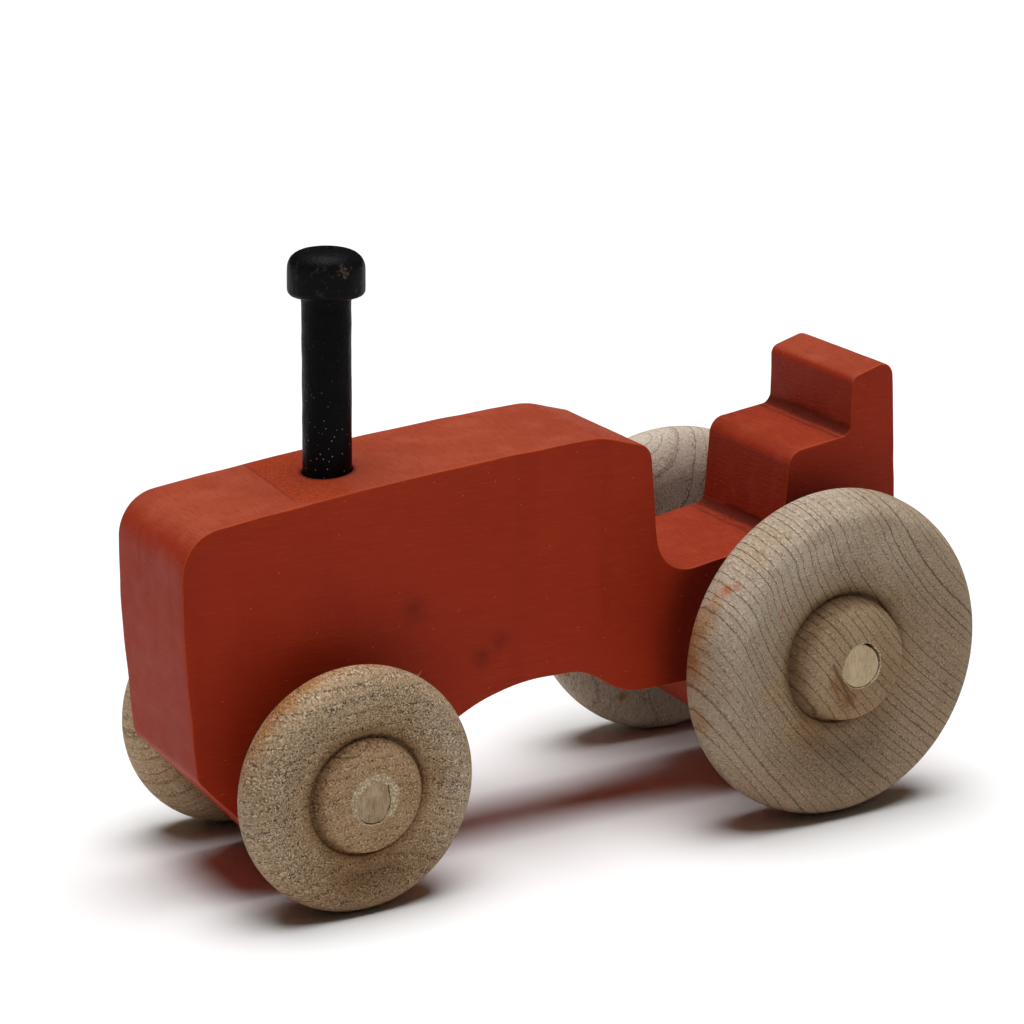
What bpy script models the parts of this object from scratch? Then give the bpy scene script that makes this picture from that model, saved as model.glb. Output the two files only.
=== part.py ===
"""Wooden toy tractor: a painted board on four turned wheels, with a peg for a smokestack.

+X points to the front of the tractor, +Y to its left side and +Z up. The wheels stand on z = 0,
and the origin is on the ground under the middle of the whole toy. Sizes are in metres.
"""

from collections import namedtuple
from math import acos, atan2, cos, pi, radians, sin, tan

import bmesh
import bpy

# Driving dimensions
WHEELBASE = 0.1004
FRONT_OVERHANG = 0.02744         # front axle to the most forward point of the hood
BOARD_THICKNESS = 0.0266
REAR_WHEEL_RADIUS = 0.03175      # a 2 1/2 inch wheel
FRONT_WHEEL_RADIUS = 0.02225     # a 1 3/4 inch wheel
REAR_HUB_FACE = 0.0369           # from the middle plane to the outer face of the hub
FRONT_HUB_FACE = 0.0308
INNER_HUB_FACE = 0.0147          # the same for the inner face of all four hubs
AXLE_RADIUS = 0.0042
AXLE_CLEARANCE = 0.0004          # the axles turn in the board
GLUE_GAP = 0.0003                # between pieces that are glued together
STACK_FORWARD = 0.0931           # of the rear axle
STACK_RADIUS = 0.0044
STACK_HEAD_RADIUS = 0.0069
STACK_TOP = 0.1135               # above the ground
STACK_HEAD_HEIGHT = 0.0086
STACK_DOME = 0.0043              # height of the head's domed part
STACK_HEAD_ROUNDING = 0.0012
STACK_BOTTOM = 0.0520
DIMPLE_RADIUS = 0.0009
DIMPLE_DEPTH = 0.0008
PEG_CHAMFER = 0.0008
ARC_STEP = radians(12)           # about the turn between two points of a rounded corner
LARGE_RADIUS = 0.1               # curves larger than this are the hood's crown and bowed front
BOW_STEPS = 6
WHEEL_SIDES = 48
DOWEL_SIDES = 32

# The rear axle's place follows from the length over all
OVERALL_LENGTH = REAR_WHEEL_RADIUS + WHEELBASE + FRONT_OVERHANG
REAR_AXLE_X = REAR_WHEEL_RADIUS - OVERALL_LENGTH / 2
FRONT_AXLE_X = REAR_AXLE_X + WHEELBASE

# Colours as linear RGB, with roughness
RED_PAINT = ("red_paint", (0.330, 0.041, 0.020), 0.55)
BLACK_PAINT = ("black_paint", (0.006, 0.006, 0.007), 0.45)
BARE_MAPLE = ("bare_maple", (0.420, 0.300, 0.190), 0.65)
DOWEL_WOOD = ("dowel_wood", (0.500, 0.370, 0.220), 0.70)

MM = 0.001

# The board's outline, clockwise from the toe: each corner's place in mm, forward of the rear axle
# and above the ground, and the radius in mm that it is rounded to.
BOARD_CORNERS = (
    (105.2, 2.6, 1.5),       # foot under the front axle
    (93.6, 2.6, 1.2),
    (84.6, 32.25, 40.0),     # arch behind the front axle
    (46.2, 32.2, 13.6),
    (37.8, 26.1, 13.6),      # belly
    (19.5, 26.1, 1.8),
    (14.5, 10.8, 17.0),      # housing around the rear axle
    (-8.7, 10.8, 20.0),
    (-27.0, 29.1, 4.0),
    (-23.1, 84.1, 2.8),      # backrest
    (-13.5, 81.2, 2.0),
    (-13.6, 70.0, 2.2),
    (0.8, 68.2, 3.5),        # seat
    (1.95, 51.5, 2.0),
    (30.0, 47.5, 7.5),       # footwell
    (32.6, 73.4, 3.8),       # hood
    (43.8, 76.5, 14.0),
    (84.3, 74.6, 880.0),
    (127.9, 69.0, 8.0),
    (127.75, 49.0, 120.0),   # bowed front
    (125.8, 25.0, 3.5),      # toe
)

# A wheel's sizes. Heights are along the axle, from the toy's middle plane.
Wheel = namedtuple(
    "Wheel",
    "radius crown rim rim_height inner_rim inner_rim_height"
    " groove_height lip_height boss_foot boss_face hub_face",
)
REAR_WHEEL = Wheel(
    radius=REAR_WHEEL_RADIUS,
    crown=0.0266,                # height of the widest circle
    rim=0.0265,                  # radius where the tyre's rounding meets the dished face
    rim_height=0.0350,
    inner_rim=0.0225,            # the same on the side towards the board
    inner_rim_height=0.0206,
    groove_height=0.0300,        # the narrow groove around the boss
    lip_height=0.0312,           # where the dished face drops into the groove
    boss_foot=0.0121,
    boss_face=0.0086,
    hub_face=REAR_HUB_FACE,
)
FRONT_WHEEL = Wheel(
    radius=FRONT_WHEEL_RADIUS,
    crown=0.0244,
    rim=0.0180,
    rim_height=0.0296,
    inner_rim=0.0150,
    inner_rim_height=0.0167,
    groove_height=0.0272,
    lip_height=0.0282,
    boss_foot=0.0104,
    boss_face=0.0086,
    hub_face=FRONT_HUB_FACE,
)
GROOVE_WIDTH = 0.0004
DISH_SAG = 0.0007
INNER_BOSS_FLARE = 0.0014


def clear_scene():
    for item in list(bpy.data.objects):
        bpy.data.objects.remove(item, do_unlink=True)


def collection(name):
    made = bpy.data.collections.new(name)
    bpy.context.scene.collection.children.link(made)
    return made


def material(name, colour, roughness):
    made = bpy.data.materials.new(name)
    made.use_nodes = True
    shader = made.node_tree.nodes["Principled BSDF"]
    shader.inputs["Base Color"].default_value = (*colour, 1.0)
    shader.inputs["Roughness"].default_value = roughness
    shader.inputs["Metallic"].default_value = 0.0
    return made


def round_corner(before, corner, after, radius):
    """Points of the arc that joins the two straight sides of a corner."""
    to_before = (before[0] - corner[0], before[1] - corner[1])
    to_after = (after[0] - corner[0], after[1] - corner[1])
    start_angle = atan2(to_before[1], to_before[0])
    end_angle = atan2(to_after[1], to_after[0])
    between = acos(cos(end_angle - start_angle))
    tangent = radius / tan(between / 2)
    start = (corner[0] + tangent * cos(start_angle), corner[1] + tangent * sin(start_angle))
    side = 1 if sin(end_angle - start_angle) > 0 else -1
    centre = (start[0] - side * radius * sin(start_angle), start[1] + side * radius * cos(start_angle))
    turn = pi - between
    steps = max(BOW_STEPS if radius > LARGE_RADIUS else 2, round(turn / ARC_STEP))
    first = atan2(start[1] - centre[1], start[0] - centre[0])
    angles = [first - side * turn * i / steps for i in range(steps + 1)]
    return [(centre[0] + radius * cos(a), centre[1] + radius * sin(a)) for a in angles]


def board_outline():
    corners = [(REAR_AXLE_X + x * MM, z * MM, radius * MM) for x, z, radius in BOARD_CORNERS]
    points = []
    for i, (x, z, radius) in enumerate(corners):
        before = corners[i - 1]
        after = corners[(i + 1) % len(corners)]
        points += round_corner(before, (x, z), after, radius)
    return points


def mesh_from_curve(curve_object, name, home):
    """Turn a filled curve into a closed mesh object of the same name."""
    bpy.context.view_layer.update()
    evaluated = curve_object.evaluated_get(bpy.context.evaluated_depsgraph_get())
    mesh = bpy.data.meshes.new_from_object(evaluated)
    solid = bmesh.new()
    solid.from_mesh(mesh)
    bmesh.ops.remove_doubles(solid, verts=solid.verts, dist=0.00001)
    solid.to_mesh(mesh)
    solid.free()
    made = bpy.data.objects.new(name, mesh)
    made.matrix_world = curve_object.matrix_world
    home.objects.link(made)
    bpy.data.objects.remove(curve_object, do_unlink=True)
    return made


def board(home, cutters, paint):
    """The board, sawn to the outline, with its two axle holes and the hole for the smokestack."""
    curve = bpy.data.curves.new("board_outline", "CURVE")
    curve.dimensions = "2D"
    curve.fill_mode = "BOTH"
    curve.extrude = BOARD_THICKNESS / 2
    outline = board_outline()
    spline = curve.splines.new("POLY")
    spline.points.add(len(outline) - 1)
    for point, (x, z) in zip(spline.points, outline):
        point.co = (x, z, 0, 1)
    spline.use_cyclic_u = True
    flat = bpy.data.objects.new("board_outline", curve)
    flat.rotation_euler = (pi / 2, 0, 0)
    home.objects.link(flat)
    body = mesh_from_curve(flat, "body", home)
    hole_radius = AXLE_RADIUS + AXLE_CLEARANCE
    for name, x, z in (
        ("front_axle_hole", FRONT_AXLE_X, FRONT_WHEEL_RADIUS),
        ("rear_axle_hole", REAR_AXLE_X, REAR_WHEEL_RADIUS),
    ):
        drill = cylinder(name, hole_radius, BOARD_THICKNESS * 2, cutters)
        drill.location = (x, 0, z)
        drill.rotation_euler = (pi / 2, 0, 0)
        cut(body, drill)
    depth = STACK_TOP - STACK_BOTTOM + GLUE_GAP
    drill = cylinder("stack_hole", STACK_RADIUS + GLUE_GAP, depth, cutters)
    drill.location = (REAR_AXLE_X + STACK_FORWARD, 0, STACK_TOP - depth / 2)
    cut(body, drill)
    body.data.materials.append(paint)
    return body


def cylinder(name, radius, length, home):
    bpy.ops.mesh.primitive_cylinder_add(vertices=DOWEL_SIDES, radius=radius, depth=length)
    made = bpy.context.object
    made.name = name
    for owner in list(made.users_collection):
        owner.objects.unlink(made)
    home.objects.link(made)
    return made


def cut(target, cutter):
    cutter.hide_render = True
    cutter.display_type = "WIRE"
    modifier = target.modifiers.new(cutter.name, "BOOLEAN")
    modifier.operation = "DIFFERENCE"
    modifier.solver = "EXACT"
    modifier.object = cutter


def arc(centre, radii, start, end, steps):
    """Points of an elliptic arc, as (radius, height) pairs; the angles are in degrees."""
    angles = [radians(start + (end - start) * i / steps) for i in range(steps + 1)]
    return [(centre[0] + radii[0] * cos(a), centre[1] + radii[1] * sin(a)) for a in angles]


def turned(name, profile, sides, home, closed):
    """A turned piece about its Z axis. The profile runs down its outer side."""
    mesh = bpy.data.meshes.new(name)
    edges = [(i, i + 1) for i in range(len(profile) - 1)]
    if closed:
        edges.append((len(profile) - 1, 0))
    mesh.from_pydata([(radius, 0, height) for radius, height in profile], edges, [])
    made = bpy.data.objects.new(name, mesh)
    home.objects.link(made)
    screw = made.modifiers.new("turn", "SCREW")
    screw.axis = "Z"
    screw.steps = sides
    screw.render_steps = sides
    screw.use_merge_vertices = True
    screw.merge_threshold = 0.00001
    screw.use_smooth_shade = True
    return made


def wheel_profile(wheel):
    """Half section of a wheel, as (radius, height) pairs: down the outer side, back up the bore."""
    bore = AXLE_RADIUS + GLUE_GAP
    floor = wheel.groove_height
    boss = arc(
        (wheel.boss_face, floor), (wheel.boss_foot - wheel.boss_face, wheel.hub_face - floor), 90, 0, 4
    )
    groove = (wheel.boss_foot + GROOVE_WIDTH, floor)
    lip = (wheel.boss_foot + 2 * GROOVE_WIDTH, wheel.lip_height)
    middle = ((lip[0] + wheel.rim) / 2, (lip[1] + wheel.rim_height) / 2 - DISH_SAG)
    outer = arc(
        (wheel.rim, wheel.crown), (wheel.radius - wheel.rim, wheel.rim_height - wheel.crown), 90, 0, 5
    )
    inner = arc(
        (wheel.inner_rim, wheel.crown),
        (wheel.radius - wheel.inner_rim, wheel.crown - wheel.inner_rim_height), 0, -90, 6
    )
    back = [
        (wheel.boss_face + INNER_BOSS_FLARE, wheel.inner_rim_height),
        (wheel.boss_face, INNER_HUB_FACE),
        (bore, INNER_HUB_FACE),
    ]
    return [(bore, wheel.hub_face)] + boss + [groove, lip, middle] + outer + inner[1:] + back


def wheelset(end, x, wheel, home, dowel_wood, maple):
    """An axle dowel with a wheel glued on each end, on an empty at the middle of the axle."""
    centre = bpy.data.objects.new(end + "_wheelset", None)
    centre.location = (x, 0, wheel.radius)
    home.objects.link(centre)
    axle = cylinder(end + "_axle", AXLE_RADIUS, wheel.hub_face * 2, home)
    axle.rotation_euler = (pi / 2, 0, 0)
    axle.parent = centre
    axle.data.materials.append(dowel_wood)
    finish(axle)
    for side, tilt in (("left", -pi / 2), ("right", pi / 2)):
        made = turned(end + "_wheel_" + side, wheel_profile(wheel), WHEEL_SIDES, home, closed=True)
        made.rotation_euler = (tilt, 0, 0)
        made.parent = centre
        made.data.materials.append(maple)


def smokestack(home, paint):
    """An axle peg stood on its shank, with a domed head that has a small dimple."""
    under = STACK_TOP - STACK_HEAD_HEIGHT
    edge = STACK_HEAD_RADIUS - STACK_HEAD_ROUNDING
    profile = [(0, STACK_TOP - DIMPLE_DEPTH), (DIMPLE_RADIUS, STACK_TOP - DIMPLE_DEPTH / 4)]
    profile += arc((0, STACK_TOP - STACK_DOME), (STACK_HEAD_RADIUS, STACK_DOME), 75, 0, 6)
    profile += arc((edge, under + STACK_HEAD_ROUNDING), (STACK_HEAD_ROUNDING, STACK_HEAD_ROUNDING), 0, -90, 3)
    profile += [
        (STACK_RADIUS, under),
        (STACK_RADIUS, STACK_BOTTOM + PEG_CHAMFER),
        (STACK_RADIUS - PEG_CHAMFER, STACK_BOTTOM),
        (0, STACK_BOTTOM),
    ]
    made = turned("smokestack", profile, DOWEL_SIDES, home, closed=False)
    made.location = (REAR_AXLE_X + STACK_FORWARD, 0, 0)
    made.data.materials.append(paint)


def finish(piece):
    piece.data.shade_smooth()
    piece.data.set_sharp_from_angle(angle=radians(35))


def main():
    clear_scene()
    home = collection("toy_tractor")
    cutters = collection("cutters")
    paint = material(*RED_PAINT)
    black = material(*BLACK_PAINT)
    maple = material(*BARE_MAPLE)
    dowel = material(*DOWEL_WOOD)
    body = board(home, cutters, paint)
    finish(body)
    smokestack(home, black)
    wheelset("front", FRONT_AXLE_X, FRONT_WHEEL, home, dowel, maple)
    wheelset("rear", REAR_AXLE_X, REAR_WHEEL, home, dowel, maple)


main()
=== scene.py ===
"""Looks of the wooden toy tractor: fine meshes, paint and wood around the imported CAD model.

+X points to the front of the tractor, +Y to its left side and +Z up, in metres. Every piece is
made in place, so an object's own coordinates are the frame's, and the materials are laid out in
them.
"""

from collections import namedtuple
from math import acos, atan2, cos, pi, radians, sin, tan

import bmesh
import bpy
from mathutils import Matrix, Vector, noise


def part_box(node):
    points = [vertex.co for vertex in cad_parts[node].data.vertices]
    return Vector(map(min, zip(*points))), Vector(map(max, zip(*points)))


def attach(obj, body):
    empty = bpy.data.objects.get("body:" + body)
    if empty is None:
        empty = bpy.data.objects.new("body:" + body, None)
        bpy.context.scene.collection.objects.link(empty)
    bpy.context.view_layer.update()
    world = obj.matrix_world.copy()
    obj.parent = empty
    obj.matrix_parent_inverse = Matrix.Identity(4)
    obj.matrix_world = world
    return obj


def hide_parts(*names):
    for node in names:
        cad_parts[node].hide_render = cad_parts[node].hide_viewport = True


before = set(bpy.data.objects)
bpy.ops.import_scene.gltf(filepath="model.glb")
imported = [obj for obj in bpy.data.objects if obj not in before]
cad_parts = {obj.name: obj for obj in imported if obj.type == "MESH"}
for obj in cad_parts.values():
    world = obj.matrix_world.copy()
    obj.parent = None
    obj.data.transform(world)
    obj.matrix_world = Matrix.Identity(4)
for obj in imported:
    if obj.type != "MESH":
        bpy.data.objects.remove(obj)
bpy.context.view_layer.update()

MM = 0.001

# ------------ sizes, from the frame

Box = namedtuple("Box", "low high centre size")


def node_box(name):
    low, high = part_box(name)
    return Box(low, high, (low + high) / 2, high - low)


BODY = node_box("body")
STACK = node_box("smokestack")
FRONT_AXLE = node_box("front_axle")
REAR_AXLE = node_box("rear_axle")
HALF_BOARD = BODY.size.y / 2
AXLE_RADIUS = REAR_AXLE.size.z / 2
STACK_X = STACK.centre.x

# ------------ camera

# The camera that the photo was taken with, as fitted: its place, its axes and its lens in mm
CAMERA_PLACE = Vector((0.280059, 0.447889, 0.2092))
CAMERA_RIGHT = Vector((-0.855034, 0.518444, 0.011507))
CAMERA_DOWN = Vector((0.132287, 0.23952, -0.961837))
CAMERA_FORWARD = Vector((-0.501415, -0.820881, -0.273381))
CAMERA_LENS = 103.39
CAMERA_SENSOR = 36.0
NEAREST_SEEN = 0.01


def make_camera():
    data = bpy.data.cameras.new("photo_camera")
    data.lens = CAMERA_LENS
    data.sensor_width = CAMERA_SENSOR
    data.clip_start = NEAREST_SEEN
    camera = bpy.data.objects.new("photo_camera", data)
    turn = Matrix((CAMERA_RIGHT, -CAMERA_DOWN, -CAMERA_FORWARD)).transposed()
    camera.matrix_world = Matrix.Translation(CAMERA_PLACE) @ turn.to_4x4()
    bpy.context.scene.collection.objects.link(camera)
    bpy.context.scene.camera = camera


# ------------ shader graphs

# A noise: about scale features a metre, or a scale in each direction, then its octaves and so on
Grain = namedtuple("Grain", "scale detail roughness distortion", defaults=(2.0, 0.5, 0.0))


class Graph:
    """One material, with short calls that add a node, feed its inputs and return its output."""

    def __init__(self, name, roughness, specular):
        self.material = bpy.data.materials.new(name)
        self.material.use_nodes = True
        self.tree = self.material.node_tree
        self.shader = self.tree.nodes["Principled BSDF"]
        self.shader.inputs["Roughness"].default_value = roughness
        self.shader.inputs["Specular IOR Level"].default_value = specular
        coordinates = self.tree.nodes.new("ShaderNodeTexCoord")
        self.place = coordinates.outputs["Object"]
        self.normal = coordinates.outputs["Normal"]

    def add(self, kind, inputs, output=0, **settings):
        node = self.tree.nodes.new(kind)
        for name, value in settings.items():
            setattr(node, name, value)
        for key, value in inputs.items():
            self.feed(node.inputs[key], value)
        return node.outputs[output]

    def feed(self, socket, value):
        if isinstance(value, bpy.types.NodeSocket):
            self.tree.links.new(value, socket)
        else:
            socket.default_value = value

    def math(self, operation, a, b=0.0):
        return self.add("ShaderNodeMath", {0: a, 1: b}, operation=operation)

    def times(self, a, b):
        return self.math("MULTIPLY", a, b)

    def plus(self, a, b):
        return self.math("ADD", a, b)

    def either(self, a, b):
        return self.math("MAXIMUM", a, b)

    def between(self, at_none, at_full, mask):
        """at_none where the mask is 0, at_full where it is 1."""
        return self.plus(at_none, self.times(mask, at_full - at_none))

    def vector(self, operation, a, b=(0, 0, 0), output=0):
        return self.add("ShaderNodeVectorMath", {0: a, 1: b}, output, operation=operation)

    def scaled(self, vector, by):
        return self.add("ShaderNodeVectorMath", {0: vector, "Scale": by}, operation="SCALE")

    def distance(self, a, b):
        return self.vector("DISTANCE", a, b, output=1)

    def length(self, vector):
        return self.vector("LENGTH", vector, output=1)

    def dot(self, a, b):
        return self.vector("DOT_PRODUCT", a, b, output=1)

    def parts(self, vector):
        node = self.tree.nodes.new("ShaderNodeSeparateXYZ")
        self.tree.links.new(vector, node.inputs[0])
        return node.outputs

    def joined(self, x, y, z):
        return self.add("ShaderNodeCombineXYZ", {0: x, 1: y, 2: z})

    def step(self, value, none, full):
        """0 at none, 1 at full, smooth between and the same beyond; none may be the larger."""
        low, high = min(none, full), max(none, full)
        at_low, at_high = (0.0, 1.0) if none <= full else (1.0, 0.0)
        inputs = {
            "Value": value, "From Min": low, "From Max": high, "To Min": at_low, "To Max": at_high,
        }
        return self.add("ShaderNodeMapRange", inputs, interpolation_type="SMOOTHSTEP")

    def noise(self, vector, grain):
        """A grain's noise, from 0 to 1."""
        scale = grain.scale
        if isinstance(scale, tuple):
            vector, scale = self.vector("MULTIPLY", vector, scale), 1.0
        inputs = {
            "Vector": vector, "Scale": scale, "Detail": grain.detail,
            "Roughness": grain.roughness, "Distortion": grain.distortion,
        }
        return self.add("ShaderNodeTexNoise", inputs)

    def waver(self, vector, grain, width):
        """A grain's noise around 0, width from its lowest to its highest."""
        return self.times(self.plus(self.noise(vector, grain), -0.5), width)

    def dots(self, vector, dots):
        """1 in round spots, about one to a cell of spacing, in a share of the cells."""
        node = self.tree.nodes.new("ShaderNodeTexVoronoi")
        node.voronoi_dimensions = dots.dimensions
        node.inputs["Scale"].default_value = 1 / dots.spacing
        self.tree.links.new(vector, node.inputs["Vector"])
        rim = dots.radius / dots.spacing
        spot = self.step(node.outputs["Distance"], rim, rim * 0.5)
        chosen = self.math("LESS_THAN", self.parts(node.outputs["Color"])[0], dots.share)
        return self.times(spot, chosen)

    def near_segment(self, flat, start, end, width):
        """1 close to the straight line between two points, 0 at width from it."""
        start, end = Vector(start), Vector(end)
        run = end - start
        from_start = self.vector("SUBTRACT", flat, tuple(start))
        share = self.dot(from_start, tuple(run / run.length_squared))
        share = self.math("MINIMUM", self.either(share, 0.0), 1.0)
        away = self.distance(from_start, self.scaled(tuple(run), share))
        return self.step(away, width, width * 0.3)

    def colour(self, factor, a, b, blend="MIX"):
        a = (*a, 1) if isinstance(a, tuple) else a
        b = (*b, 1) if isinstance(b, tuple) else b
        return self.add(
            "ShaderNodeMix", {0: factor, 6: a, 7: b}, 2, data_type="RGBA", blend_type=blend
        )

    def laid(self, colour, paint, share, *masks, blend="MIX"):
        """The colour with a share of a paint over it where every mask is 1."""
        for mask in masks:
            share = self.times(mask, share)
        return self.colour(share, colour, paint, blend)

    def bump(self, height, distance, strength):
        inputs = {"Height": height, "Distance": distance, "Strength": strength}
        return self.add("ShaderNodeBump", inputs)

    def finish(self, colour, normal, roughness=None):
        self.feed(self.shader.inputs["Base Color"], colour)
        self.feed(self.shader.inputs["Normal"], normal)
        if roughness is not None:
            self.feed(self.shader.inputs["Roughness"], roughness)
        return self.material


# Round spots on a surface: metres between them, their radius and the share of places that have one
Dots = namedtuple("Dots", "spacing radius share dimensions")

# ------------ the red paint

RED_SIDE = (0.345, 0.0285, 0.0082)
RED_DARK = (0.215, 0.014, 0.0045)
RED_END = (0.33, 0.032, 0.011)
RED_PINK = (0.36, 0.062, 0.04)
RED_FRESH = (0.385, 0.046, 0.014)
# The level faces' paint, paler and greyer than the sides': partly sanded paint, partly a painted
# sheen
RED_LEVEL_AND_SHEEN = (0.345, 0.06, 0.0285)
RED_ORANGE = (0.47, 0.075, 0.02)
RED_PALE = (0.44, 0.1, 0.056)
# A dark brown for real smudges, pits and marks, also laid as painted shade in the inner corners
SMUDGE_AND_SHADE = (0.085, 0.012, 0.007)
SPECK = (0.75, 0.5, 0.38)
CAB_SHADE = (0.79, 0.56, 0.46)   # painted shade on the cab's level faces, the seat and footwell, recessed behind the hood
WHEEL_SHADE = (0.4, 0.37, 0.52)     # painted shade on the board's sides behind the rear wheels

# Kinds of face, by how far the surface's direction is across the board, lengthwise or up
SIDE_FACING = (0.8, 0.97)
END_FACING = (0.5, 0.85)
UP_FACING = (0.45, 0.85)
CORNER_FACING = ((0.06, 0.35), (0.995, 0.8))

PATCHES = Grain(130, 3, 0.6)
FINE_STREAKS = Grain((260, 500, 3400), 2, 0.6)
SANDING = Grain((2600, 330, 2600), 2, 0.6)
GRIT = Grain(2800, 2, 0.65)

# A layer of paint: none of it where its grain is at one value and full at another, on some faces
Layer = namedtuple("Layer", "grain none full share paint faces")
UNDER_LAYERS = (
    Layer(Grain(45, 3, 0.6), 0.42, 0.7, 0.22, RED_DARK, "all"),
    Layer(Grain((120, 300, 14)), 0.48, 0.7, 0.2, RED_DARK, "side"),
    Layer(Grain((70, 200, 1100), 3, 0.6), 0.52, 0.75, 0.22, RED_DARK, "side"),
    Layer(FINE_STREAKS, 0.52, 0.75, 0.16, RED_ORANGE, "side"),
    Layer(PATCHES, 0.5, 0.72, 0.45, RED_PINK, "end"),
    Layer(Grain((300, 420, 22)), 0.5, 0.72, 0.2, RED_DARK, "end"),
    Layer(PATCHES, 0.46, 0.66, 0.3, RED_PALE, "level"),
)
UPPER_LAYERS = (
    Layer(SANDING, 0.5, 0.7, 0.28, RED_DARK, "level"),
    Layer(SANDING, 0.46, 0.3, 0.22, RED_ORANGE, "level"),
    Layer(GRIT, 0.58, 0.78, 0.2, RED_DARK, "all"),
)

# Dark smudges on the left side: x and z on the board, and radius
SMUDGES = ((0.0345, 0.0492, 0.004), (0.0165, 0.0405, 0.003), (0.0205, 0.038, 0.0032))
SIDE_SPECKS = Dots(0.006, 0.00011, 0.3, "2D")
END_SPECKS = Dots(0.005, 0.00011, 0.35, "2D")
SIDE_HOLES = Dots(0.007, 0.00018, 0.4, "2D")

# Fresher paint around the smokestack, up to a slanting line across the hood ahead of it
FRESH_RADIUS, FRESH_FADE = 0.015, 0.003
FRESH_REACH, FRESH_SLANT = 0.011, -0.07
FOOT_DARK_RING = (0.0056, 0.0046)    # a darker ring around the smokestack's foot: from and to

# Inner corners of the seat and the footwell, forward of the rear axle and above the ground
CREASES = ((-0.0136, 0.07), (0.00195, 0.0515))
CREASE_REACH = 0.0048
CREASE_WOBBLE = 0.0022
# Painted shade along the inner corners: from and to, out from the corner
CREASE_SHADE = (0.0021, 0.001)
CREASE_SCORE = ((0.0024, 0.0029), (0.0036, 0.003))      # a worn line beside each inner corner
CAB_FRONT, CAB_TOP, CAB_FADE = -0.015, 0.0745, 0.002
WHEEL_SHADE_RADIUS, WHEEL_SHADE_FADE = 0.033, 0.0075            # painted shade around the rear axle, within the wheels' reach


def layered(g, colour, layers, faces):
    for layer in layers:
        amount = g.step(g.noise(g.place, layer.grain), layer.none, layer.full)
        colour = g.laid(colour, layer.paint, layer.share, amount, faces[layer.faces])
    return colour


def fresh_paint(g, colour, x, y, level):
    """The hood's paint around the smokestack, and a relief of its rough spots."""
    from_stack = g.distance(g.joined(x, y, 0.0), (STACK_X, 0.0, 0.0))
    ragged = g.plus(from_stack, g.waver(g.place, Grain(320, 3, 0.6), 0.003))
    ahead = g.plus(g.plus(x, -STACK_X), g.times(y, FRESH_SLANT))
    near = g.times(g.step(ragged, FRESH_RADIUS + FRESH_FADE, FRESH_RADIUS), level)
    near = g.times(near, g.step(ahead, FRESH_REACH + 0.0005, FRESH_REACH))
    fresh = g.times(near, g.step(ahead, -FRESH_FADE, FRESH_FADE))
    rough = g.times(fresh, g.step(g.noise(g.place, Grain(1900, 2, 0.7)), 0.5, 0.62))
    rim = g.times(
        g.step(ahead, FRESH_REACH - 0.0004, FRESH_REACH),
        g.step(ahead, FRESH_REACH + 0.0006, FRESH_REACH),
    )
    colour = g.laid(colour, RED_FRESH, 0.75, fresh)
    colour = g.laid(colour, SMUDGE_AND_SHADE, 0.28, rough)
    colour = g.laid(colour, SMUDGE_AND_SHADE, 0.25, rim, near)
    # A darker ring on the level faces around the smokestack's foot.
    colour = g.laid(colour, SMUDGE_AND_SHADE, 0.7, g.step(from_stack, *FOOT_DARK_RING), level)
    return colour, rough


def smudges(g, flat, side, y):
    """Where the dark smudges on the left side are."""
    blot = None
    for spot_x, spot_z, radius in SMUDGES:
        away = g.distance(flat, (spot_x, spot_z, 0.0))
        ragged = g.plus(away, g.times(g.noise(g.place, Grain(700)), radius * 0.8))
        spot = g.step(ragged, radius * 1.5, radius * 0.2)
        blot = spot if blot is None else g.either(blot, spot)
    return g.times(g.times(blot, side), g.step(y, 0.0, HALF_BOARD / 2))


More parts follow.
